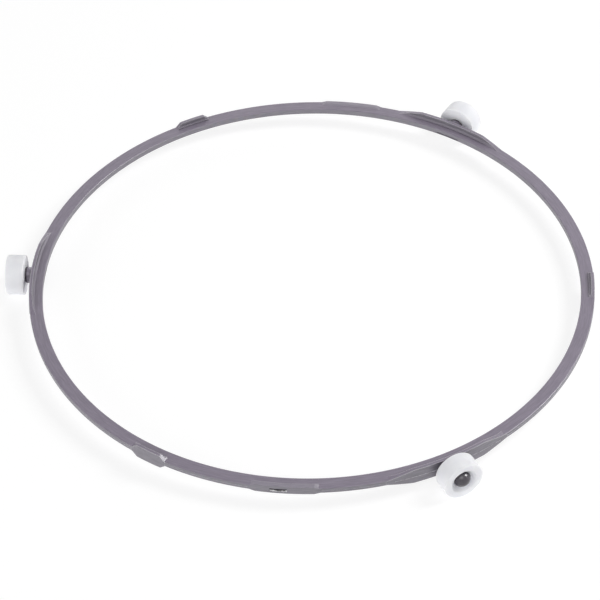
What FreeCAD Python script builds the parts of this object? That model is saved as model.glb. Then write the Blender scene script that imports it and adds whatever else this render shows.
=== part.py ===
# Roller ring that carries a microwave oven's glass turntable.
# A flat moulded ring holds three rollers on stub axles. The moulding is the same above and below
# its mid-plane, so it works either way up. The origin is the ring's centre on the floor, +Z is up.
import FreeCAD, Part
import math
import os

from FreeCAD import Vector

# Driving dimensions: millimetres and degrees
# Flat ring plate
ring_outer_radius = 100.0
ring_width = 4.7
ring_thickness = 2.2
ring_edge_bevel = 0.25

# Stations around the ring
station_count = 3
roller_azimuth = 60.0
tab_azimuth = 0.0
pad_azimuths = (83.75, -92.35)

# Rollers
roller_radius = 7.1
roller_length = 6.4
roller_inner_edge_bevel = 0.3
roller_outer_edge_bevel = 0.3
recess_depth = 2.0
recess_lip_width = 0.3
recess_lip_depth = 0.3
bore_chamfer = 0.25

# Stub axles and their running fit
journal_radius = 2.4
bore_clearance = 0.06
boss_shoulder = 0.41
boss_length = 1.9
thrust_clearance = 0.15
head_clearance = 0.45
head_grip = 0.4
head_rim_height = 0.4
head_dome_height = 2.3
head_side_clearance = 1.44

# Upright features on the plate's outer edge: rise above each face, and half angles along the ring
edge_offset = 0.1
draft_angle = 3.0
wall_rise = 1.95
wall_thickness = 1.45
wall_top_half_angle = 7.7
wall_foot_half_angle = 12.5
wall_corner_round = 6.0
wall_foot_bevel = 0.6

tab_rise = 1.7
tab_thickness = 1.4
tab_top_half_angle = 2.7
tab_foot_half_angle = 3.75
tab_corner_round = 0.8
tab_ledge_width = 0.7
tab_ledge_rise = 0.4

pad_rise = 0.45
pad_width = 2.3
pad_top_half_angle = 5.6
pad_foot_half_angle = 6.4
pad_corner_round = 0.8

# Shallow slot in the plate's inner edge, behind each axle
slot_half_angle = 2.7
slot_height = 0.5
slot_depth = 0.3
slot_drop = 0.4

# Depth by which a feature runs on into the plate, so that they join as one moulding
root_depth = 0.3

# Places that follow from the dimensions
mid_height = roller_radius
half_plate = ring_thickness / 2
ring_inner_radius = ring_outer_radius - ring_width
edge_radius = ring_outer_radius + edge_offset
station_step = 360.0 / station_count

bore_radius = journal_radius + bore_clearance
boss_radius = bore_radius + boss_shoulder
head_radius = bore_radius + head_grip
recess_radius = head_radius + head_side_clearance
boss_end = edge_radius + boss_length
roller_inner_face = boss_end + thrust_clearance
roller_outer_face = roller_inner_face + roller_length
recess_floor = roller_outer_face - recess_depth
head_seat = recess_floor + head_clearance
head_rim = head_seat + head_rim_height
head_apex = head_rim + head_dome_height

AXIS_Z = Vector(0, 0, 1)
AXIS_X = Vector(1, 0, 0)
CENTRE = Vector(0, 0, 0)
AXLE_LINE = Vector(0, 0, mid_height)


def turned(shape, azimuth):
    """Copy of a shape that is modelled at azimuth 0, turned about the ring's axis."""
    copy = shape.copy()
    copy.rotate(CENTRE, AXIS_Z, azimuth)
    return copy


def draft_shift(rise):
    """Sideways shift of a drafted face at a height above or below the mid-plane."""
    return rise * math.tan(math.radians(draft_angle))


def circles(solid, radius, x):
    """The solid's circular edges of one radius, about the axle's line at one place along it."""
    return [
        edge
        for edge in solid.Edges
        if isinstance(edge.Curve, Part.Circle)
        and abs(edge.Curve.Radius - radius) < 1e-6
        and abs(edge.Curve.Center.x - x) < 1e-6
    ]


def ring_plate():
    """Flat ring with all four of its edges broken by a small bevel."""
    base = Vector(0, 0, mid_height - half_plate)
    disc = Part.makeCylinder(ring_outer_radius, ring_thickness, base)
    hole = Part.makeCylinder(ring_inner_radius, ring_thickness, base)
    plate = disc.cut(hole)
    return plate.makeChamfer(ring_edge_bevel, [edge for edge in plate.Edges if edge.isClosed()])


def arc_of_section(upper_half, half_angle):
    """Solid of a section, mirrored about the mid-plane and swept along the ring's edge.

    upper_half runs from the outer face to the inner one, as (radius, height over mid-plane).
    """
    corners = [Vector(radius, 0, mid_height + rise) for radius, rise in upper_half]
    corners += [Vector(radius, 0, mid_height - rise) for radius, rise in reversed(upper_half) if rise > 0]
    face = Part.Face(Part.makePolygon(corners + corners[:1]))
    swept = face.revolve(CENTRE, AXIS_Z, 2 * half_angle)
    return turned(swept, -half_angle)


def ramped_outline(top_half_angle, foot_half_angle, rise, corner_round):
    """Prism along X with the side view of an upright feature: flat top and bottom, ramped ends."""
    top = half_plate + rise
    top_half = edge_radius * math.sin(math.radians(top_half_angle))
    foot_half = edge_radius * math.sin(math.radians(foot_half_angle))
    root_half = foot_half + root_depth * (foot_half - top_half) / rise
    quarter = [(root_half, half_plate - root_depth), (top_half, top)]
    upper = quarter + [(-y, z) for y, z in reversed(quarter)]
    outline = upper + [(y, -z) for y, z in reversed(upper)]
    corners = [Vector(0, y, mid_height + z) for y, z in outline]
    prism = Part.Face(Part.makePolygon(corners + corners[:1])).extrude(AXIS_X * (2 * ring_outer_radius))
    corner_edges = [
        edge
        for edge in prism.Edges
        if edge.Length > ring_outer_radius and abs(abs(edge.CenterOfMass.z - mid_height) - top) < 1e-6
    ]
    return prism.makeFillet(corner_round, corner_edges)


def axle_wall():
    """Low curved wall behind a roller, drafted from the mid-plane, with a bevelled inner foot."""
    top = half_plate + wall_rise
    inner = edge_radius - wall_thickness
    section = [
        (edge_radius, 0),
        (edge_radius - draft_shift(top), top),
        (inner + draft_shift(wall_rise), top),
        (inner, half_plate + wall_foot_bevel),
        (inner - wall_foot_bevel - root_depth, half_plate - root_depth),
    ]
    outline = ramped_outline(wall_top_half_angle, wall_foot_half_angle, wall_rise, wall_corner_round)
    return arc_of_section(section, 2 * wall_foot_half_angle).common(outline)


def tab():
    """Short upright tab midway between two rollers, with a low ledge along its inner foot."""
    top = half_plate + tab_rise
    inner = edge_radius - tab_thickness
    ledge = inner - tab_ledge_width
    section = [
        (edge_radius, 0),
        (edge_radius - draft_shift(top), top),
        (inner + draft_shift(tab_rise), top),
        (inner, half_plate + tab_ledge_rise),
        (ledge, half_plate + tab_ledge_rise),
        (ledge, half_plate - root_depth),
    ]
    outline = ramped_outline(tab_top_half_angle, tab_foot_half_angle, tab_rise, tab_corner_round)
    return arc_of_section(section, 2 * tab_foot_half_angle).common(outline)


def feed_pad():
    """Thickened strip of the plate's outer half, where the plastic was fed into the mould."""
    top = half_plate + pad_rise
    inner = edge_radius - pad_width
    section = [
        (edge_radius, 0),
        (edge_radius - draft_shift(top), top),
        (inner, top),
        (inner, half_plate - root_depth),
    ]
    outline = ramped_outline(pad_top_half_angle, pad_foot_half_angle, pad_rise, pad_corner_round)
    return arc_of_section(section, 2 * pad_foot_half_angle).common(outline)


def inner_slot():
    """Cutter for the shallow slot in the plate's inner edge."""
    bottom = mid_height - slot_drop - slot_height / 2
    cutter = Part.makeCylinder(
        ring_inner_radius + slot_depth, slot_height, Vector(0, 0, bottom), AXIS_Z, 2 * slot_half_angle
    )
    return turned(cutter, -slot_half_angle)


def stub_axle():
    """Boss, journal and domed snap head, turned about the axle's line."""
    root = edge_radius - wall_thickness / 2
    dome_radius = (head_radius ** 2 + head_dome_height ** 2) / (2 * head_dome_height)
    half_turn = math.atan2(head_radius, dome_radius - head_dome_height) / 2
    dome_middle = Vector(
        head_apex - dome_radius * (1 - math.cos(half_turn)), 0, mid_height + dome_radius * math.sin(half_turn)
    )
    steps = [
        (root, 0),
        (root, boss_radius),
        (boss_end, boss_radius),
        (boss_end, journal_radius),
        (head_seat, journal_radius),
        (head_seat, head_radius),
        (head_rim, head_radius),
    ]
    corners = [Vector(x, 0, mid_height + radius) for x, radius in steps]
    apex = Vector(head_apex, 0, mid_height)
    dome = Part.Arc(corners[-1], dome_middle, apex).toShape()
    axis = Part.makeLine(apex, corners[0])
    profile = Part.Wire(Part.makePolygon(corners).Edges + [dome, axis])
    return Part.Face(profile).revolve(AXLE_LINE, AXIS_X, 360)


def ring_moulding():
    """The whole one-piece moulding: plate, walls, tabs, pads and stub axles."""
    features = []
    slots = []
    for station in range(station_count):
        roller_place = roller_azimuth + station * station_step
        features.append(turned(axle_wall(), roller_place))
        features.append(turned(stub_axle(), roller_place))
        features.append(turned(tab(), tab_azimuth + station * station_step))
        slots.append(turned(inner_slot(), roller_place))
    for azimuth in pad_azimuths:
        features.append(turned(feed_pad(), azimuth))
    return ring_plate().fuse(features).cut(slots).removeSplitter()


def roller():
    """Wheel at azimuth 0, bored for the journal and recessed for the snap head."""
    start = Vector(roller_inner_face, 0, mid_height)
    wheel = Part.makeCylinder(roller_radius, roller_length, start, AXIS_X)
    bore = Part.makeCylinder(bore_radius, roller_length, start, AXIS_X)
    recess = Part.makeCylinder(recess_radius, recess_depth, Vector(recess_floor, 0, mid_height), AXIS_X)
    lip_start = Vector(roller_outer_face - recess_lip_depth, 0, mid_height)
    lip = Part.makeCone(recess_radius, recess_radius + recess_lip_width, recess_lip_depth, lip_start, AXIS_X)
    mouth = Part.makeCone(bore_radius + bore_chamfer, bore_radius, bore_chamfer, start, AXIS_X)
    wheel = wheel.cut([bore, recess, lip, mouth])
    wheel = wheel.makeChamfer(roller_inner_edge_bevel, circles(wheel, roller_radius, roller_inner_face))
    return wheel.makeChamfer(roller_outer_edge_bevel, circles(wheel, roller_radius, roller_outer_face))


def main():
    """Write each piece to its own file."""
    os.makedirs("parts", exist_ok=True)
    ring_moulding().exportStep("parts/ring_moulding.step")
    for station, name in enumerate(("rear_roller", "left_roller", "front_roller")):
        turned(roller(), roller_azimuth + station * station_step).exportStep("parts/" + name + ".step")


main()
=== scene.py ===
import logging
import math
from abc import ABC, abstractmethod
from collections.abc import Sequence
from dataclasses import dataclass
from enum import Enum
from typing import ClassVar

import bpy
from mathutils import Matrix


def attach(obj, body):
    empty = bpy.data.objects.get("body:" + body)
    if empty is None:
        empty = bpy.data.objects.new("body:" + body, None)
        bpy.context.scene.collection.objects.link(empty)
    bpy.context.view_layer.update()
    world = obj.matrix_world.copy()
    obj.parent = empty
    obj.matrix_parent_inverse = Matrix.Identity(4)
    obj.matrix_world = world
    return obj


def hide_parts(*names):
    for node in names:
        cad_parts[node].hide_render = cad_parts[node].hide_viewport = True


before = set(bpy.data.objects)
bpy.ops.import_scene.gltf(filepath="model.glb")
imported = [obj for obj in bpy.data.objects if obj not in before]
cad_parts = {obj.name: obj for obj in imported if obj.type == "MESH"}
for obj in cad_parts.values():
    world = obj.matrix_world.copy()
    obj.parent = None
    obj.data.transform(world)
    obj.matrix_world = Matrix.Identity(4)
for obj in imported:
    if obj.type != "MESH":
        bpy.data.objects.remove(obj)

Point = tuple[float, float]
Triple = tuple[float, float, float]
Colour = tuple[float, float, float, float]
Plane = tuple[Point, Point]
Piece = bpy.types.Object
Material = bpy.types.Material
Socket = bpy.types.NodeSocket

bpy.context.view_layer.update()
LOG = logging.getLogger("roller_ring")
MM = 0.001

# Sizes that the moulding's features share. Its edge lies just inside the solid's.
MID_HEIGHT = 7.1
HALF_PLATE = 1.1
EDGE_RADIUS = 100.07
ROOT_DEPTH = 0.3
DRAFT_DEGREES = 3.0

# Axes that pieces are turned about: a direction, and a point in metres.
UP: Triple = (0.0, 0.0, 1.0)
CENTRE: Triple = (0.0, 0.0, 0.0)
OUTWARD: Triple = (1.0, 0.0, 0.0)
AXLE_POINT: Triple = (0.0, 0.0, MID_HEIGHT * MM)

# Distances in metres at which points are one, on cut or swept pieces and on turned ones.
WELD = 1e-7
POLE_WELD = 2e-7

# Fewest steps of a rounded corner.
FEWEST_STEPS = 2

# Ranges and layers of the finishes' patterns.
UNIT: Point = (0.0, 1.0)
CLOUDS: Point = (0.35, 0.65)
WIDE_CLOUDS: Point = (0.3, 0.7)
COARSE = 2.0
FINE = 3.0
WHITE: Colour = (1.0, 1.0, 1.0, 1.0)


class Place(Enum):
    """Places around the ring, with their azimuth in degrees."""

    @property
    def label(self) -> str:
        """Lower-case word for piece names."""
        return self.name.lower()

    @classmethod
    def named(cls, prefix: str) -> dict[str, float]:
        """Piece names with their azimuths, in order."""
        return {prefix + place.label: place.value for place in cls}


class Station(Place):
    """The three places that carry a roller."""

    REAR = 60.0
    LEFT = 180.0
    FRONT = 300.0


class TabPlace(Place):
    """The three places of the upright tabs."""

    RIGHT = 0.0
    REAR_LEFT = 120.0
    FRONT_LEFT = 240.0


class PadPlace(Place):
    """The two places where the plastic was fed in."""

    REAR = 83.75
    FRONT = -92.35


class Slot(Enum):
    """Material slots of the record."""

    RING = "ring_plastic"
    ROLLER = "roller_plastic"


class Level(Enum):
    """The two sides of the mid-plane."""

    UPPER = 1
    LOWER = -1


@dataclass(frozen=True)
class Corner:
    """Corner of an outline: where it is, and the radius that rounds it."""

    along: float
    up: float
    radius: float = 0.0


def rounded(corners: Sequence[Corner], closed: bool = True, step_degrees: float = 15.0) -> list[Point]:
    """Turns corners into outline points, with an arc at each corner that has a radius.

    Args:
        corners: the outline's corners in order.
        closed: whether the last corner joins the first.
        step_degrees: largest turn between two points of an arc.

    Returns:
        The outline's points as (along, up).
    """
    points: list[Point] = []
    count = len(corners)
    for index, corner in enumerate(corners):
        at_end = not closed and index in (0, count - 1)
        if corner.radius == 0.0 or at_end:
            points.append((corner.along, corner.up))
            continue
        before = corners[index - 1]
        after = corners[(index + 1) % count]
        heading_in = math.atan2(corner.up - before.up, corner.along - before.along)
        heading_out = math.atan2(after.up - corner.up, after.along - corner.along)
        turn = (heading_out - heading_in + math.pi) % (2 * math.pi) - math.pi
        reach = corner.radius * math.tan(abs(turn) / 2)
        x = corner.along - reach * math.cos(heading_in)
        z = corner.up - reach * math.sin(heading_in)
        points.append((x, z))
        steps = max(FEWEST_STEPS, math.ceil(abs(math.degrees(turn)) / step_degrees))
        chord = 2 * corner.radius * math.sin(abs(turn) / (2 * steps))
        for step in range(steps):
            heading = heading_in + turn * (step + 0.5) / steps
            x += chord * math.cos(heading)
            z += chord * math.sin(heading)
            points.append((x, z))
    return points


def draft_shift(rise: float) -> float:
    """Sideways shift of a drafted face at a height over the mid-plane."""
    return rise * math.tan(math.radians(DRAFT_DEGREES))


def mirrored(upper_half: Sequence[Point]) -> list[Point]:
    """Closes a section by its mirror image below the mid-plane."""
    return [*upper_half, *[(radius, -up) for radius, up in reversed(upper_half) if up > 0.0]]


class Bench:
    """Hand tools that shape one mesh at a time."""

    SHARP_DEGREES: ClassVar[float] = 25.0

    @staticmethod
    def pick(piece: Piece) -> None:
        """Makes one piece the only selected and active one.

        Args:
            piece: the piece.
        """
        bpy.ops.object.select_all(action="DESELECT")
        piece.select_set(True)
        bpy.context.view_layer.objects.active = piece

    @staticmethod
    def draw(name: str, points: Sequence[Point], closed: bool = True) -> Piece:
        """Draws an outline in the plane of X and Z by extruding one vertex along it.

        Args:
            name: the new piece's name.
            points: the outline as (radius or place along the axle, height over the mid-plane).
            closed: whether the last point joins the first.

        Returns:
            The piece, left in edit mode with everything selected.
        """
        bpy.ops.mesh.primitive_plane_add(size=MM)
        piece = bpy.context.active_object
        piece.name = name
        piece.data.name = name
        bpy.ops.object.mode_set(mode="EDIT")
        bpy.ops.mesh.select_all(action="SELECT")
        bpy.ops.mesh.merge(type="CENTER")
        path = [*points, points[0]] if closed else list(points)
        bpy.ops.transform.translate(value=(path[0][0] * MM, 0.0, (MID_HEIGHT + path[0][1]) * MM))
        for (x0, z0), (x1, z1) in zip(path, path[1:]):
            stride = ((x1 - x0) * MM, 0.0, (z1 - z0) * MM)
            bpy.ops.mesh.extrude_vertices_move(TRANSFORM_OT_translate={"value": stride})
        bpy.ops.mesh.select_all(action="SELECT")
        bpy.ops.mesh.remove_doubles(threshold=WELD)
        return piece

    @staticmethod
    def weld(distance: float = WELD) -> None:
        """Merges doubled points of the piece in edit mode, turns its faces outwards and leaves edit mode.

        Args:
            distance: points this close are one, in metres.
        """
        bpy.ops.mesh.select_all(action="SELECT")
        bpy.ops.mesh.remove_doubles(threshold=distance)
        bpy.ops.mesh.normals_make_consistent(inside=False)
        bpy.ops.object.mode_set(mode="OBJECT")

    @staticmethod
    def lathe(piece: Piece, axis: Triple, centre: Triple, steps: int) -> None:
        """Turns the outline in edit mode through a full circle and closes its seam and poles.

        Args:
            piece: the piece that is in edit mode.
            axis: direction of the axis.
            centre: a point on the axis, in metres.
            steps: number of steps around.
        """
        bpy.ops.mesh.select_all(action="SELECT")
        bpy.ops.mesh.spin(steps=steps, angle=2 * math.pi, center=centre, axis=axis)
        Bench.weld(POLE_WELD)
        Bench.pick(piece)

    @staticmethod
    def sweep(piece: Piece, half_degrees: float, steps: int) -> None:
        """Sweeps the outline in edit mode along the ring, to the same angle on both sides of azimuth 0.

        Args:
            piece: the piece that is in edit mode.
            half_degrees: angle to each side.
            steps: number of steps in all.
        """
        half = math.radians(half_degrees)
        bpy.ops.mesh.select_all(action="SELECT")
        bpy.ops.mesh.spin(steps=steps, angle=-2 * half, center=CENTRE, axis=UP)
        bpy.ops.object.mode_set(mode="OBJECT")
        Bench.pick(piece)
        piece.rotation_euler.z = -half
        bpy.ops.object.transform_apply(location=False, rotation=True, scale=False)

    @staticmethod
    def slice_off(planes: Sequence[Plane]) -> None:
        """Cuts the active piece with planes along X and closes each cut.

        Args:
            planes: a point and the outward normal of each plane, as (along Y, over the mid-plane).
        """
        bpy.ops.object.mode_set(mode="EDIT")
        for (y, up), (normal_y, normal_up) in planes:
            bpy.ops.mesh.select_all(action="SELECT")
            bpy.ops.mesh.bisect(
                plane_co=(0.0, y * MM, (MID_HEIGHT + up) * MM),
                plane_no=(0.0, normal_y, normal_up),
                use_fill=True,
                clear_outer=True,
                threshold=WELD,
            )
        Bench.weld()

    @staticmethod
    def bar(name: str, section: Sequence[Point], radius: float, half_degrees: float, steps: int) -> Piece:
        """Makes a cutter that lies along the ring and has square ends.

        Args:
            name: the cutter's name.
            section: its outline as (radius, height over the mid-plane).
            radius: where its length is taken.
            half_degrees: where it ends, to each side of azimuth 0.
            steps: number of steps in the sweep, which is twice as long.

        Returns:
            The cutter, at azimuth 0.
        """
        cutter = Bench.draw(name, section)
        Bench.sweep(cutter, 2 * half_degrees, steps)
        half = radius * math.sin(math.radians(half_degrees))
        Bench.slice_off([((half, 0.0), (1.0, 0.0)), ((-half, 0.0), (-1.0, 0.0))])
        return cutter

    @staticmethod
    def soften(piece: Piece, width: float, segments: int = 2) -> None:
        """Rounds every sharp edge of a piece.

        Args:
            piece: the piece.
            width: how far the rounding reaches from the edge.
            segments: number of faces across the rounding.
        """
        Bench.pick(piece)
        bevel = piece.modifiers.new("edge_round", "BEVEL")
        bevel.width = width * MM
        bevel.segments = segments
        bevel.limit_method = "ANGLE"
        bevel.angle_limit = math.radians(Bench.SHARP_DEGREES)
        bpy.ops.object.modifier_apply(modifier=bevel.name)

    @staticmethod
    def carve(piece: Piece, cutter: Piece) -> None:
        """Cuts one piece's shape out of another and removes the cutter.

        Args:
            piece: the piece that is cut.
            cutter: the piece that is taken away.
        """
        Bench.pick(piece)
        cut = piece.modifiers.new("cut", "BOOLEAN")
        cut.operation = "DIFFERENCE"
        cut.solver = "EXACT"
        cut.material_mode = "TRANSFER"
        cut.object = cutter
        bpy.ops.object.modifier_apply(modifier=cut.name)
        Bench.remove(cutter)

    @staticmethod
    def smooth(piece: Piece, degrees: float = 40.0) -> None:
        """Smooths the shading, with the large faces kept flat.

        Args:
            piece: the piece.
            degrees: edges that turn by more than this stay sharp.
        """
        Bench.pick(piece)
        bpy.ops.object.shade_smooth_by_angle(angle=math.radians(degrees))
        weighted = piece.modifiers.new("flat_faces", "WEIGHTED_NORMAL")
        weighted.keep_sharp = True
        bpy.ops.object.modifier_apply(modifier=weighted.name)

    @staticmethod
    def copy_turned(piece: Piece, name: str, azimuth: float) -> Piece:
        """Copies a piece that is modelled at azimuth 0 to its place around the ring.

        Args:
            piece: the piece to copy.
            name: the copy's name.
            azimuth: its place in degrees.

        Returns:
            The copy, with its own mesh and its place in that mesh.
        """
        Bench.pick(piece)
        bpy.ops.object.duplicate()
        twin = bpy.context.active_object
        twin.name = name
        twin.data.name = name
        twin.rotation_euler.z = math.radians(azimuth)
        bpy.ops.object.transform_apply(location=False, rotation=True, scale=False)
        return twin

    @staticmethod
    def remove(piece: Piece) -> None:
        """Deletes a piece that has served as a pattern or cutter."""
        Bench.pick(piece)
        bpy.ops.object.delete()


class NodeBoard:
    """Node tree of a material or of the surroundings, with short calls that add and wire nodes."""

    RAYS: ClassVar[int] = 6
    LYING: ClassVar[Point] = (0.35, 0.85)
    ACROSS: ClassVar[Triple] = (1.0, 1.0, 0.0)
    MIX_COLOURS: ClassVar[tuple[int, int]] = (6, 7)
    MIX_RESULT: ClassVar[int] = 2

    def __init__(self, owner: Material | bpy.types.World, shader: str = "Principled BSDF") -> None:
        """Opens the nodes of a new material or of new surroundings.

        Args:
            owner: the material or surroundings.
            shader: name of the shader that they start with.
        """
        self.owner = owner
        owner.use_nodes = True
        self.tree = owner.node_tree
        self.shader = self.tree.nodes[shader]

    def add(self, kind: str, **settings: object) -> bpy.types.Node:
        """Adds a node and sets its options.

        Args:
            kind: the node's type.
            settings: its options by name.

        Returns:
            The node.
        """
        node = self.tree.nodes.new(kind)
        for key, value in settings.items():
            setattr(node, key, value)
        return node

    def wire(self, source: Socket, target: Socket) -> None:
        """Joins two sockets."""
        self.tree.links.new(source, target)

    def feed(self, target: Socket, value: Socket | Colour | Triple | float) -> None:
        """Gives a socket a fixed value, or joins it to another socket.

        Args:
            target: the socket.
            value: number, colour or socket.
        """
        if isinstance(value, Socket):
            self.wire(value, target)
        else:
            target.default_value = value

    def coat(self, name: str, value: Socket | Colour | Triple | float) -> None:
        """Gives one of the shader's inputs a fixed value or a pattern."""
        self.feed(self.shader.inputs[name], value)

    def place(self) -> Socket:
        """Object coordinates, in metres."""
        return self.add("ShaderNodeTexCoord").outputs["Object"]

    def math(self, operation: str, *values: Socket | float) -> Socket:
        """Adds a sum on sockets or numbers.

        Args:
            operation: the kind of sum.
            values: what it works on, in order.

        Returns:
            The result.
        """
        node = self.add("ShaderNodeMath", operation=operation)
        for socket, value in zip(node.inputs, values):
            self.feed(socket, value)
        return node.outputs[0]

    def from_axis(self) -> Socket:
        """Measures the distance from the ring's axis.

        Returns:
            The distance, in metres.
        """
        flat = self.add("ShaderNodeVectorMath", operation="MULTIPLY")
        self.wire(self.place(), flat.inputs[0])
        flat.inputs[1].default_value = self.ACROSS
        length = self.add("ShaderNodeVectorMath", operation="LENGTH")
        self.wire(flat.outputs["Vector"], length.inputs[0])
        return length.outputs["Value"]

    def along_ring(self, stretch: float) -> Socket:
        """Coordinates that follow the ring: radius, height and a shortened way around.

        Args:
            stretch: how much longer a pattern is along the ring than across it.

        Returns:
            The coordinates.
        """
        axes = self.add("ShaderNodeSeparateXYZ")
        self.wire(self.place(), axes.inputs[0])
        x, y, height = axes.outputs
        radius = self.from_axis()
        around = self.math("MULTIPLY", self.math("ARCTAN2", y, x), EDGE_RADIUS * MM / stretch)
        joined = self.add("ShaderNodeCombineXYZ")
        for source, target in zip((radius, height, around), joined.inputs):
            self.wire(source, target)
        return joined.outputs[0]

    def lying(self) -> Socket:
        """Tells faces that lie flat from upright ones.

        Returns:
            1 on faces that lie flat and 0 on upright ones.
        """
        axes = self.add("ShaderNodeSeparateXYZ")
        self.wire(self.add("ShaderNodeTexCoord").outputs["Normal"], axes.inputs[0])
        return self.remap(self.math("ABSOLUTE", axes.outputs[2]), self.LYING, UNIT)

    def open_air(self, reach: float, source: Point) -> Socket:
        """Tells open faces from tight corners.

        Args:
            reach: distance at which another face makes a corner.
            source: low and high end of the openness that counts.

        Returns:
            1 on open faces and 0 in tight corners.
        """
        node = self.add("ShaderNodeAmbientOcclusion", samples=self.RAYS)
        node.inputs["Distance"].default_value = reach * MM
        return self.remap(node.outputs["AO"], source, UNIT)

    def highlight_edges(self, reach: float, source: Point) -> Socket:
        """Tells edges from the faces between them.

        Args:
            reach: distance from an edge that the painted highlight covers.
            source: cosine of the normal's turn at full wear, and at none.

        Returns:
            1 along edges and 0 on the faces between them.
        """
        softened = self.add("ShaderNodeBevel", samples=self.RAYS)
        softened.inputs["Radius"].default_value = reach * MM
        turn = self.add("ShaderNodeVectorMath", operation="DOT_PRODUCT")
        self.wire(softened.outputs["Normal"], turn.inputs[0])
        self.wire(self.add("ShaderNodeNewGeometry").outputs["Normal"], turn.inputs[1])
        return self.remap(turn.outputs["Value"], source, UNIT[::-1])

    def noise(self, vector: Socket, size: float, detail: float = FINE) -> Socket:
        """Cloudy pattern.

        Args:
            vector: the coordinates that it follows.
            size: width of one cloud.
            detail: number of finer layers.

        Returns:
            Its value, from 0 to 1.
        """
        node = self.add("ShaderNodeTexNoise")
        node.inputs["Scale"].default_value = 1.0 / (size * MM)
        node.inputs["Detail"].default_value = detail
        self.wire(vector, node.inputs["Vector"])
        return node.outputs["Fac"]

    def remap(self, value: Socket, source: Point, target: Point) -> Socket:
        """Stretches a range of values to another one.

        Args:
            value: the value.
            source: low and high end that it comes from.
            target: low and high end that it is given.

        Returns:
            The new value, held inside the target's ends.
        """
        node = self.add("ShaderNodeMapRange")
        for name, number in zip(("From Min", "From Max", "To Min", "To Max"), (*source, *target)):
            node.inputs[name].default_value = number
        self.wire(value, node.inputs["Value"])
        return node.outputs["Result"]

    def blend(self, factor: Socket, low: Socket | Colour, high: Socket | Colour) -> Socket:
        """Mixes two colours.

        Args:
            factor: 0 gives the first colour and 1 the second.
            low: colour or colour socket.
            high: colour or colour socket.

        Returns:
            The mixed colour.
        """
        node = self.add("ShaderNodeMix", data_type="RGBA")
        self.wire(factor, node.inputs["Factor"])
        for index, colour in zip(self.MIX_COLOURS, (low, high)):
            self.feed(node.inputs[index], colour)
        return node.outputs[self.MIX_RESULT]

    def by_ray(self, levels: Point) -> Socket:
        """Tells light that falls on the object from what is seen, straight or by reflection.

        Args:
            levels: level for light that falls on the object, and level for a seen ray.

        Returns:
            The level.
        """
        path = self.add("ShaderNodeLightPath")
        seen = path.outputs["Is Camera Ray"]
        for name in ("Is Glossy Ray", "Is Transmission Ray"):
            seen = self.math("MAXIMUM", seen, path.outputs[name])
        return self.remap(seen, UNIT, levels)

    def bump(self, height: Socket, depth: float, under: Socket | None = None) -> Socket:
        """Relief of the surface.

        Args:
            height: pattern from 0 to 1.
            depth: height of the relief.
            under: relief that this one lies on.

        Returns:
            The surface's normal.
        """
        node = self.add("ShaderNodeBump")
        node.inputs["Strength"].default_value = 1.0
        node.inputs["Distance"].default_value = depth * MM
        self.wire(height, node.inputs["Height"])
        if under is not None:
            self.wire(under, node.inputs["Normal"])
        return node.outputs["Normal"]


@dataclass(frozen=True)
class RingFinish:
    """Satin purple-grey moulding with fine streaks along the ring. Upright sides get a paler, greyer tone
    that paints the light the floor gives them, and inside corners and gaps get painted shade.

    Where an edge tone is given, open edges are lightened to it as a painted highlight.
    """

    name: str = "satin_purple_grey"
    face_deep: Colour = (0.152, 0.127, 0.176, 1.0)
    face_pale: Colour = (0.206, 0.176, 0.233, 1.0)
    # Painted light: upright sides are paler and greyer, as the floor's light makes them look; flat faces keep
    # the plain tone.
    painted_side_deep: Colour = (0.166, 0.153, 0.183, 1.0)
    painted_side_pale: Colour = (0.228, 0.213, 0.249, 1.0)
    # Painted shade: inside corners and the gaps between parts are darkened towards this tone where ambient
    # occlusion finds nearby faces.
    painted_corner_shade: Colour = (0.058, 0.047, 0.066, 1.0)
    corner_reach: float = 3.2
    corner_range: Point = (0.32, 0.88)
    # Painted highlight: a paler tone along open edges, where light catches their roundings.
    painted_edge_highlight: Colour | None = None
    edge_reach: float = 0.50
    edge_range: Point = (0.88, 0.995)
    edge_fade: float = 3.0
    streak_size: float = 0.32
    streak_stretch: float = 14.0
    streak_range: Point = (0.32, 0.68)
    streak_depth: float = 0.010
    grain_size: float = 0.16
    grain_depth: float = 0.012
    gloss_size: float = 7.0
    gloss_range: Point = (0.38, 0.48)
    sheen: float = 0.9

    def make(self) -> Material:
        """Builds the material.

        Returns:
            The material.
        """
        board = NodeBoard(bpy.data.materials.new(self.name))
        place = board.place()
        streaks = board.noise(board.along_ring(self.streak_stretch), self.streak_size)
        spread = board.remap(streaks, self.streak_range, UNIT)
        faces = board.blend(spread, self.face_deep, self.face_pale)
        sides = board.blend(spread, self.painted_side_deep, self.painted_side_pale)
        # Painted light: upright faces take the side tone and flat ones the face tone.
        tone = board.blend(board.lying(), sides, faces)
        openness = board.open_air(self.corner_reach, self.corner_range)
        if self.painted_edge_highlight:
            # Painted highlight: open edges are lightened towards the edge tone.
            edge_highlight_mask = board.highlight_edges(self.edge_reach, self.edge_range)
            outward = board.math("MULTIPLY", edge_highlight_mask, board.math("POWER", openness, self.edge_fade))
            tone = board.blend(outward, tone, self.painted_edge_highlight)
        # Painted shade: the base colour darkens towards the corner tone in corners and gaps.
        board.coat("Base Color", board.blend(openness, self.painted_corner_shade, tone))
        gloss = board.remap(board.noise(place, self.gloss_size), CLOUDS, self.gloss_range)
        board.coat("Roughness", gloss)
        board.coat("Specular IOR Level", self.sheen)
        grain = board.bump(board.noise(place, self.grain_size), self.grain_depth)
        board.coat("Normal", board.bump(streaks, self.streak_depth, grain))
        return board.owner


@dataclass(frozen=True)
class EdgeHighlightFinish(RingFinish):
    """The moulding's finish on its walls and tabs, with painted highlights along their open edges."""

    name: str = "satin_purple_grey_edge_highlight"
    painted_edge_highlight: Colour | None = (0.46, 0.45, 0.48, 1.0)


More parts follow.
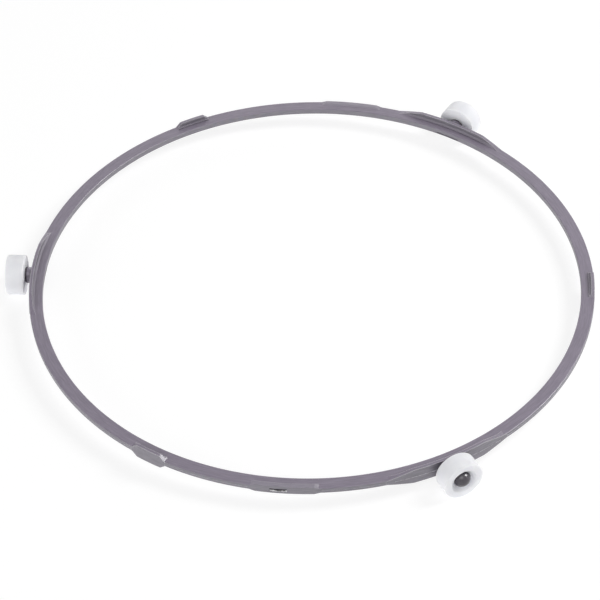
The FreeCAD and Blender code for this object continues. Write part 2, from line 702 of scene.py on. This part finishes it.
@dataclass(frozen=True)
class PadFinish(RingFinish):
    """The moulding's finish on its feed pads, which are paler and low, with only faint painted shade in their
    corners.
    """

    name: str = "satin_pale_grey"
    face_deep: Colour = (0.190, 0.168, 0.214, 1.0)
    face_pale: Colour = (0.250, 0.226, 0.277, 1.0)
    # Painted shade in the pads' corners, kept faint.
    painted_corner_shade: Colour = (0.160, 0.140, 0.180, 1.0)


@dataclass(frozen=True)
class FlashHighlightFinish:
    """Paler colour on the thin flash along the mould's parting line, a painted highlight for the light line
    that the bead catches.
    """

    name: str = "flash_painted_highlight"
    # Painted highlight: the bead's tones are paler than the moulding's.
    deep_tone: Colour = (0.26, 0.25, 0.28, 1.0)
    pale_tone: Colour = (0.48, 0.47, 0.51, 1.0)
    cloud_size: float = 0.9
    cloud_range: Point = (0.35, 0.60)
    gloss_range: Point = (0.4, 0.6)

    def make(self) -> Material:
        """Builds the material.

        Returns:
            The material.
        """
        board = NodeBoard(bpy.data.materials.new(self.name))
        clouds = board.remap(board.noise(board.place(), self.cloud_size), self.cloud_range, UNIT)
        board.coat("Base Color", board.blend(clouds, self.deep_tone, self.pale_tone))
        board.coat("Roughness", board.remap(clouds, UNIT, self.gloss_range))
        return board.owner


@dataclass(frozen=True)
class TornFinish:
    """Stress-whitened plastic where the runner was broken off, with painted shadow under its upper edge."""

    name: str = "torn_plastic"
    white: Colour = (0.93, 0.92, 0.94, 1.0)
    # Painted shadow: the notch's upper part is darkened as if in the shade of its edge.
    dark: Colour = (0.035, 0.030, 0.040, 1.0)
    edge: Point = (-0.42, -0.14)
    tear_size: float = 1.5
    tear_height: float = 0.7
    grain_size: float = 0.3
    grain_depth: float = 0.05
    roughness: float = 0.6

    def make(self) -> Material:
        """Builds the material.

        Returns:
            The material.
        """
        board = NodeBoard(bpy.data.materials.new(self.name))
        place = board.place()
        axes = board.add("ShaderNodeSeparateXYZ")
        board.wire(place, axes.inputs[0])
        waves = board.noise(place, self.tear_size, COARSE)
        tear = board.remap(waves, WIDE_CLOUDS, (0.0, self.tear_height * MM))
        height = board.math("ADD", axes.outputs[2], tear)
        low, high = ((MID_HEIGHT + self.tear_height / 2 + up) * MM for up in self.edge)
        # Painted shadow towards the notch's upper edge, white stress marks below it.
        painted_shadow_mask = board.remap(height, (low, high), UNIT)
        board.coat("Base Color", board.blend(painted_shadow_mask, self.white, self.dark))
        board.coat("Roughness", self.roughness)
        grain = board.bump(board.noise(place, self.grain_size), self.grain_depth)
        board.coat("Normal", grain)
        return board.owner


@dataclass(frozen=True)
class AxleFinish:
    """The same plastic on the stub axles: satin bosses, then polished journals and domed heads, painted dark
    for the shade they lie in.
    """

    name: str = "polished_purple_grey"
    boss_deep: Colour = (0.158, 0.134, 0.178, 1.0)
    boss_pale: Colour = (0.208, 0.180, 0.232, 1.0)
    # Painted shade: past these radii the axle is darkened for the shade in the gap, the bore and the roller's
    # dish.
    boss_limits: Point = (101.30, 101.60)
    deep_tone: Colour = (0.034, 0.027, 0.039, 1.0)
    pale_tone: Colour = (0.047, 0.039, 0.053, 1.0)
    cloud_size: float = 1.4
    gloss_size: float = 0.8
    gloss_range: Point = (0.20, 0.26)
    sheen: float = 0.8

    def make(self) -> Material:
        """Builds the material.

        Returns:
            The material.
        """
        board = NodeBoard(bpy.data.materials.new(self.name))
        place = board.place()
        clouds = board.remap(board.noise(place, self.cloud_size), CLOUDS, UNIT)
        head = board.blend(clouds, self.deep_tone, self.pale_tone)
        boss = board.blend(clouds, self.boss_deep, self.boss_pale)
        near, far = (radius * MM for radius in self.boss_limits)
        # Painted shade past the boss: journals and heads take the dark tones.
        beyond_boss = board.remap(board.from_axis(), (near, far), UNIT)
        board.coat("Base Color", board.blend(beyond_boss, boss, head))
        gloss = board.remap(board.noise(place, self.gloss_size, COARSE), CLOUDS, self.gloss_range)
        board.coat("Roughness", gloss)
        board.coat("Specular IOR Level", self.sheen)
        return board.owner


@dataclass(frozen=True)
class RollerFinish:
    """Satin white moulding that lets a little light in, with fine turned lines left by the mould."""

    name: str = "satin_white"
    white: Colour = (0.890, 0.895, 0.948, 1.0)
    shade: Colour = (0.865, 0.870, 0.926, 1.0)
    cloud_size: float = 3.0
    line_size: float = 0.22
    line_depth: float = 0.004
    gloss_range: Point = (0.52, 0.62)
    sheen: float = 0.25
    milkiness: float = 1.0
    light_spread: Triple = (1.0, 1.0, 1.0)
    light_reach: float = 2.6

    def make(self) -> Material:
        """Builds the material.

        Returns:
            The material.
        """
        board = NodeBoard(bpy.data.materials.new(self.name))
        place = board.place()
        clouds = board.remap(board.noise(place, self.cloud_size), CLOUDS, UNIT)
        board.coat("Base Color", board.blend(clouds, self.white, self.shade))
        section = board.add("ShaderNodeAttribute", attribute_name=Roller.SECTION).outputs["Vector"]
        lines = board.noise(section, self.line_size, COARSE)
        board.coat("Roughness", board.remap(lines, WIDE_CLOUDS, self.gloss_range))
        board.coat("Specular IOR Level", self.sheen)
        board.coat("Normal", board.bump(lines, self.line_depth))
        board.coat("Subsurface Weight", self.milkiness)
        board.coat("Subsurface Radius", self.light_spread)
        board.coat("Subsurface Scale", self.light_reach * MM)
        return board.owner


class MouldedFeature(ABC):
    """Part of the one-piece moulding, modelled at azimuth 0 and copied to its places."""

    @abstractmethod
    def shape(self) -> Piece:
        """Models the feature once, at azimuth 0.

        Returns:
            The pattern of the pieces.
        """

    def make(self, places: dict[str, float], finish: Material) -> list[Piece]:
        """Copies the feature to its places and dresses it.

        Args:
            places: piece names with their azimuths in degrees.
            finish: material of the feature.

        Returns:
            The finished pieces.
        """
        pattern = self.shape()
        pattern.data.materials.append(finish)
        pieces = [Bench.copy_turned(pattern, name, azimuth) for name, azimuth in places.items()]
        Bench.remove(pattern)
        for piece in pieces:
            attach(piece, "ring")
        return pieces


@dataclass(frozen=True)
class RampedEnds:
    """Side view of an upright feature: flat top, rounded corners and ramps down to the plate."""

    rise: float
    top_half_angle: float
    foot_half_angle: float
    corner_radius: float
    facets: int = 4

    def planes(self) -> list[Plane]:
        """Planes that cut both ends, above and below the mid-plane.

        Returns:
            A point and an outward normal for each plane, as (along Y, over the mid-plane).
        """
        top = HALF_PLATE + self.rise
        top_half = EDGE_RADIUS * math.sin(math.radians(self.top_half_angle))
        foot_half = EDGE_RADIUS * math.sin(math.radians(self.foot_half_angle))
        slope = math.atan2(self.rise, foot_half - top_half)
        root_half = foot_half + ROOT_DEPTH / math.tan(slope)
        reach = self.corner_radius * math.tan(slope / 2)
        centre = (top_half - reach, top - self.corner_radius)
        planes: list[Plane] = []
        for end in (1, -1):
            planes.append(((end * root_half, 0.0), (float(end), 0.0)))
            for level in Level:
                for facet in range(1, self.facets + 1):
                    lean = slope * facet / self.facets
                    y = centre[0] + self.corner_radius * math.sin(lean)
                    up = centre[1] + self.corner_radius * math.cos(lean)
                    normal = (end * math.sin(lean), level.value * math.cos(lean))
                    planes.append(((end * y, level.value * up), normal))
        return planes


@dataclass
class RampedFeature(MouldedFeature):
    """Upright feature of the outer edge: a section that is swept along the ring and has ramped ends."""

    ends: RampedEnds
    edge_round: float
    sweep_half_angle: float
    sweep_steps: int

    @property
    def top(self) -> float:
        """Height of the flat top."""
        return HALF_PLATE + self.ends.rise

    @abstractmethod
    def inner_side(self) -> list[Point]:
        """Draws the section's inner side above the mid-plane.

        Returns:
            Its points from the top down, as (radius, height over the mid-plane).
        """

    def shape(self) -> Piece:
        """Sweeps the section along the ring, ramps its ends and rounds its edges.

        Returns:
            The pattern of the pieces.
        """
        outer_side = [(EDGE_RADIUS, 0.0), (EDGE_RADIUS - draft_shift(self.top), self.top)]
        pattern = Bench.draw("ramped_feature", mirrored([*outer_side, *self.inner_side()]))
        Bench.sweep(pattern, self.sweep_half_angle, self.sweep_steps)
        Bench.slice_off(self.ends.planes())
        Bench.soften(pattern, self.edge_round)
        Bench.smooth(pattern)
        return pattern


@dataclass
class RingPlate:
    """Flat ring with rounded edges and a shallow slot in its inner edge behind each axle."""

    outer_radius: float = 100.0
    width: float = 4.7
    edge_round: float = 0.3
    steps: int = 360
    slot_half_angle: float = 2.7
    slot_height: float = 0.5
    slot_depth: float = 0.3
    slot_drop: float = 0.4
    slot_round: float = 0.1
    slot_steps: int = 24

    def shape(self) -> Piece:
        """Turns the plate's rounded section about the ring's axis and cuts its slots.

        Returns:
            The bare plate.
        """
        inner = self.outer_radius - self.width
        corners = [
            Corner(self.outer_radius, -HALF_PLATE, self.edge_round),
            Corner(self.outer_radius, HALF_PLATE, self.edge_round),
            Corner(inner, HALF_PLATE, self.edge_round),
            Corner(inner, -HALF_PLATE, self.edge_round),
        ]
        plate = Bench.draw("ring_plate", rounded(corners))
        Bench.lathe(plate, UP, CENTRE, self.steps)
        for station in Station:
            Bench.carve(plate, self.slot_cutter(station))
        Bench.smooth(plate)
        return plate

    def slot_cutter(self, station: Station) -> Piece:
        """Bar that is cut out of the plate's inner edge.

        Args:
            station: the axle that the slot lies behind.

        Returns:
            The cutter.
        """
        inner = self.outer_radius - self.width
        low = -self.slot_drop - self.slot_height / 2
        high = low + self.slot_height
        corners = [
            Corner(inner + self.slot_depth, low, self.slot_round),
            Corner(inner + self.slot_depth, high, self.slot_round),
            Corner(inner - self.slot_depth, high),
            Corner(inner - self.slot_depth, low),
        ]
        cutter = Bench.bar("slot_cutter", rounded(corners), inner, self.slot_half_angle, self.slot_steps)
        turned = Bench.copy_turned(cutter, "slot_cutter_turned", station.value)
        Bench.remove(cutter)
        return turned

    def make(self, finish: Material) -> Piece:
        """Models and dresses the plate.

        Args:
            finish: material of the moulding.

        Returns:
            The finished piece, which stands for the whole moulding.
        """
        plate = self.shape()
        plate.data.materials.clear()
        plate.data.materials.append(finish)
        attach(plate, "ring")
        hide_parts("ring_moulding")
        return plate


@dataclass
class AxleWall(RampedFeature):
    """Low curved wall behind a roller, with a bevelled inner foot."""

    ends: RampedEnds = RampedEnds(rise=1.95, top_half_angle=7.7, foot_half_angle=12.5, corner_radius=6.0)
    edge_round: float = 0.16
    sweep_half_angle: float = 16.0
    sweep_steps: int = 64
    thickness: float = 1.45
    foot_bevel: float = 0.6

    def inner_side(self) -> list[Point]:
        """Draws the drafted inner face and the bevelled foot.

        Returns:
            Their points from the top down.
        """
        inner = EDGE_RADIUS - self.thickness
        return [
            (inner + draft_shift(self.ends.rise), self.top),
            (inner, HALF_PLATE + self.foot_bevel),
            (inner - self.foot_bevel - ROOT_DEPTH, HALF_PLATE - ROOT_DEPTH),
        ]


@dataclass
class UprightTab(RampedFeature):
    """Short upright tab midway between two rollers, with a low ledge along its inner foot."""

    ends: RampedEnds = RampedEnds(rise=1.7, top_half_angle=2.7, foot_half_angle=3.75, corner_radius=0.8)
    edge_round: float = 0.14
    sweep_half_angle: float = 6.0
    sweep_steps: int = 40
    thickness: float = 1.4
    ledge_width: float = 0.7
    ledge_rise: float = 0.4

    def inner_side(self) -> list[Point]:
        """Draws the drafted inner face and the ledge.

        Returns:
            Their points from the top down.
        """
        inner = EDGE_RADIUS - self.thickness
        ledge = inner - self.ledge_width
        return [
            (inner + draft_shift(self.ends.rise), self.top),
            (inner, HALF_PLATE + self.ledge_rise),
            (ledge, HALF_PLATE + self.ledge_rise),
            (ledge, HALF_PLATE - ROOT_DEPTH),
        ]


@dataclass
class FeedPad(RampedFeature):
    """Thickened strip of the plate's outer half, where the plastic was fed into the mould."""

    ends: RampedEnds = RampedEnds(rise=0.45, top_half_angle=5.6, foot_half_angle=6.4, corner_radius=0.8)
    edge_round: float = 0.14
    sweep_half_angle: float = 9.0
    sweep_steps: int = 36
    width: float = 2.3
    inner_slope: float = 0.6

    def inner_side(self) -> list[Point]:
        """Draws the sloped inner face.

        Returns:
            Its points from the top down.
        """
        inner = EDGE_RADIUS - self.width
        return [
            (inner + self.inner_slope, self.top),
            (inner, HALF_PLATE),
            (inner, HALF_PLATE - ROOT_DEPTH),
        ]


@dataclass
class GateScar:
    """Torn notch in a feed pad's outer face, where the runner was broken off."""

    azimuth: float = -93.5
    half_angle: float = 1.66
    low: float = -0.75
    high: float = 0.55
    depth: float = 0.32
    slope: float = 0.20
    raggedness: float = 0.14
    seed: int = 5
    steps: int = 26

    def tear(self, pieces: Sequence[Piece], finish: Material) -> None:
        """Cuts the notch out of the pieces that meet there.

        Args:
            pieces: the pad, the plate behind it and its parting line.
            finish: material of the torn faces.
        """
        inner = EDGE_RADIUS - self.depth
        outer = EDGE_RADIUS + self.depth
        section = [
            (inner + self.slope, self.low),
            (inner, self.high),
            (outer, self.high),
            (outer, self.low),
        ]
        pattern = Bench.bar("scar_cutter", section, EDGE_RADIUS, self.half_angle, self.steps)
        bpy.ops.object.mode_set(mode="EDIT")
        bpy.ops.mesh.select_all(action="SELECT")
        bpy.ops.transform.vertex_random(offset=self.raggedness * MM, seed=self.seed)
        bpy.ops.object.mode_set(mode="OBJECT")
        pattern.data.materials.append(finish)
        for piece in pieces:
            Bench.carve(piece, Bench.copy_turned(pattern, "scar_cutter_turned", self.azimuth))
            Bench.pick(piece)
            bpy.ops.mesh.customdata_custom_splitnormals_clear()
            Bench.smooth(piece)
        Bench.remove(pattern)


@dataclass
class StubAxle(MouldedFeature):
    """Boss, journal and domed snap head on the axle's line."""

    boss_radius: float = 2.87
    boss_end: float = 102.0
    boss_round: float = 0.18
    root_round: float = 0.12
    root_step: float = 0.02
    root_depth: float = 0.7
    journal_radius: float = 2.4
    head_seat: float = 107.0
    head_radius: float = 2.86
    head_rim: float = 107.4
    head_round: float = 0.1
    dome_height: float = 2.3
    dome_steps: int = 14
    steps: int = 112

    def shape(self) -> Piece:
        """Turns the axle's profile about its line.

        Returns:
            The pattern of the pieces.
        """
        wall_face = EDGE_RADIUS - draft_shift(self.boss_radius)
        corners = [
            Corner(wall_face - self.root_depth, 0.0),
            Corner(wall_face - self.root_depth, self.boss_radius + self.root_round),
            Corner(wall_face, self.boss_radius + self.root_round),
            Corner(wall_face + self.root_step, self.boss_radius, self.root_round),
            Corner(self.boss_end, self.boss_radius, self.boss_round),
            Corner(self.boss_end, self.journal_radius),
            Corner(self.head_seat, self.journal_radius),
            Corner(self.head_seat, self.head_radius, self.head_round),
            Corner(self.head_rim, self.head_radius),
        ]
        profile = [*rounded(corners, closed=False), *self.dome()]
        axle = Bench.draw("stub_axle", profile, closed=False)
        Bench.lathe(axle, OUTWARD, AXLE_POINT, self.steps)
        Bench.smooth(axle)
        return axle

    def dome(self) -> list[Point]:
        """Rounds the head's dome.

        Returns:
            Its points from the rim to the apex, as (along the axle, from its line).
        """
        radius = (self.head_radius**2 + self.dome_height**2) / (2 * self.dome_height)
        centre = self.head_rim + self.dome_height - radius
        opening = math.asin(self.head_radius / radius)
        return [
            (centre + radius * math.cos(lean), radius * math.sin(lean))
            for lean in (opening * (1 - step / self.dome_steps) for step in range(1, self.dome_steps + 1))
        ]


@dataclass
class PartingLine(MouldedFeature):
    """Thin bead of flash around the outer edge, where the mould's halves meet."""

    radius: float
    bead: float = 0.11
    sides: int = 8
    half_angle: float = 180.0
    steps: int = 360
    smooth_degrees: float = 60.0

    def shape(self) -> Piece:
        """Sweeps the bead's small round section along the edge.

        Returns:
            The pattern of the pieces.
        """
        ring = [2 * math.pi * side / self.sides for side in range(self.sides)]
        section = [(self.radius + self.bead * math.cos(turn), self.bead * math.sin(turn)) for turn in ring]
        line = Bench.draw("parting_line", section)
        Bench.sweep(line, self.half_angle, self.steps)
        bpy.ops.object.mode_set(mode="EDIT")
        Bench.weld()
        Bench.smooth(line, self.smooth_degrees)
        return line


@dataclass
class Roller:
    """White wheel, bored for the journal and dished around the snap head."""

    SECTION: ClassVar[str] = "section"

    radius: float = 7.1
    inner_face: float = 102.15
    outer_face: float = 108.55
    inner_round: float = 0.3
    outer_round: float = 0.3
    bore_radius: float = 2.46
    bore_chamfer: float = 0.25
    pocket_radius: float = 3.08
    pocket_depth: float = 2.0
    dish_floor_radius: float = 3.55
    dish_mouth_radius: float = 4.6
    dish_depth: float = 1.2
    mouth_round: float = 0.3
    floor_round: float = 0.35
    pocket_round: float = 0.08
    arc_degrees: float = 10.0
    steps: int = 160

    def shape(self) -> Piece:
        """Turns the roller's profile about the axle's line and notes each point's place in it.

        Returns:
            The pattern of the rollers.
        """
        pocket_floor = self.outer_face - self.pocket_depth
        dish_floor = self.outer_face - self.dish_depth
        corners = [
            Corner(self.inner_face, self.bore_radius + self.bore_chamfer),
            Corner(self.inner_face, self.radius, self.inner_round),
            Corner(self.outer_face, self.radius, self.outer_round),
            Corner(self.outer_face, self.dish_mouth_radius, self.mouth_round),
            Corner(dish_floor, self.dish_floor_radius, self.floor_round),
            Corner(dish_floor, self.pocket_radius, self.pocket_round),
            Corner(pocket_floor, self.pocket_radius),
            Corner(pocket_floor, self.bore_radius),
            Corner(self.inner_face + self.bore_chamfer, self.bore_radius),
        ]
        roller = Bench.draw("roller", rounded(corners, step_degrees=self.arc_degrees))
        Bench.lathe(roller, OUTWARD, AXLE_POINT, self.steps)
        Bench.smooth(roller)
        self.note_section(roller)
        return roller

    def note_section(self, roller: Piece) -> None:
        """Keeps each point's place along the axle and its radius, which the turned lines follow.

        Args:
            roller: the pattern, at azimuth 0.
        """
        section = roller.data.attributes.new(self.SECTION, "FLOAT_VECTOR", "POINT")
        for index, vertex in enumerate(roller.data.vertices):
            x, y, z = vertex.co
            section.data[index].vector = (x, math.hypot(y, z - MID_HEIGHT * MM), 0.0)

    def make(self, finish: Material) -> list[Piece]:
        """Copies the roller to its stations and dresses it.

        Args:
            finish: material of the rollers.

        Returns:
            The finished rollers.
        """
        pattern = self.shape()
        pattern.data.materials.append(finish)
        rollers = []
        for station in Station:
            body = station.label + "_roller"
            roller = Bench.copy_turned(pattern, station.label + "_wheel", station.value)
            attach(roller, body)
            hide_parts(body)
            rollers.append(roller)
        Bench.remove(pattern)
        return rollers


@dataclass(frozen=True)
class SoftBox:
    """Flat lamp that faces the ring's centre, in metres and watts. A glint lamp only shows in reflections."""

    name: str
    place: Triple
    width: float
    height: float
    watts: float
    glint: bool = False

    def build(self) -> None:
        """Hangs the lamp."""
        bpy.ops.object.light_add(type="AREA", location=self.place)
        lamp = bpy.context.active_object
        lamp.name = self.name
        lamp.data.shape = "RECTANGLE"
        lamp.data.size = self.width
        lamp.data.size_y = self.height
        lamp.data.energy = self.watts
        lamp.visible_diffuse = not self.glint
        x, y, z = self.place
        lamp.rotation_euler = (math.atan2(math.hypot(x, y), z), 0.0, math.atan2(y, x) + math.pi / 2)


@dataclass
class Studio:
    """Pale floor, soft boxes and the photograph's viewpoint, in metres, degrees and millimetres of lens.

    A pair of levels is for light that falls on the object, and for what the camera sees.
    """

    camera_place: Triple = (0.037994, -0.621192, 0.587847)
    camera_turn: Triple = (46.52526, 1.02956, 2.91266)
    lens: float = 143.788
    sensor: float = 36.0
    floor_size: float = 8.0
    floor_white: Point = (0.9, 0.25)
    floor_glow: Point = (0.40, 0.81)
    sky_level: Point = (0.14, 1.0)
    lamps: tuple[SoftBox, ...] = (
        SoftBox("right_box", (0.68, 0.15, 0.72), 0.32, 0.42, 5.6),
        SoftBox("glint_box", (0.80, 0.14, 0.58), 0.26, 0.26, 8.0, glint=True),
        SoftBox("left_front_box", (-0.95, -0.50, 0.35), 0.9, 0.6, 4.6),
        SoftBox("front_high_box", (0.0, -0.8, 0.9), 1.0, 0.8, 3.0),
        SoftBox("back_box", (0.0, 1.0, 0.36), 1.2, 0.5, 2.2),
    )

    def build(self) -> None:
        """Builds the floor, the sky, the lamps and the camera."""
        self.build_floor()
        self.build_sky()
        for lamp in self.lamps:
            lamp.build()
        self.build_camera()

    def build_floor(self) -> None:
        """White floor that glows a little, and that the object shades."""
        bpy.ops.mesh.primitive_plane_add(size=self.floor_size)
        floor = bpy.context.active_object
        floor.name = "floor"
        board = NodeBoard(bpy.data.materials.new("white_floor"))
        board.coat("Base Color", board.by_ray(self.floor_white))
        board.coat("Emission Strength", board.by_ray(self.floor_glow))
        board.coat("Emission Color", WHITE)
        board.coat("Roughness", 1.0)
        board.coat("Specular IOR Level", 0.0)
        floor.data.materials.append(board.owner)

    def build_sky(self) -> None:
        """White surroundings, dimmer where they light the object than where they are seen."""
        board = NodeBoard(bpy.data.worlds.new("white_surroundings"), "Background")
        board.coat("Color", WHITE)
        board.coat("Strength", board.by_ray(self.sky_level))
        bpy.context.scene.world = board.owner

    def build_camera(self) -> None:
        """Camera at the photograph's viewpoint."""
        bpy.ops.object.camera_add(location=self.camera_place)
        camera = bpy.context.active_object
        camera.rotation_euler = tuple(math.radians(angle) for angle in self.camera_turn)
        camera.data.sensor_width = self.sensor
        camera.data.lens = self.lens
        bpy.context.scene.camera = camera
        bpy.context.scene.view_settings.view_transform = "Standard"


def main() -> None:
    """Builds every piece of the roller ring, then the studio around it."""
    logging.basicConfig(level=logging.INFO, format="%(name)s: %(message)s")
    ring_finish = RingFinish().make()
    axle_finish = AxleFinish().make()
    pieces = [RingPlate().make(ring_finish)]
    edge_highlight_finish = EdgeHighlightFinish().make()
    pieces += AxleWall().make(Station.named("axle_wall_"), edge_highlight_finish)
    pieces += UprightTab().make(TabPlace.named("tab_"), edge_highlight_finish)
    pads = FeedPad().make(PadPlace.named("feed_pad_"), PadFinish().make())
    pieces += pads
    pieces += StubAxle().make(Station.named("stub_axle_"), axle_finish)
    flash_highlight_finish = FlashHighlightFinish().make()
    pieces += PartingLine(radius=99.95).make({"parting_line_plate": 0.0}, flash_highlight_finish)
    GateScar().tear([pads[-1], pieces[0], pieces[-1]], TornFinish().make())
    wall_line = PartingLine(radius=EDGE_RADIUS, half_angle=11.5, steps=48)
    pieces += wall_line.make(Station.named("parting_line_"), flash_highlight_finish)
    pieces += Roller().make(RollerFinish().make())
    Studio().build()


if __name__ == "__main__":
    main()
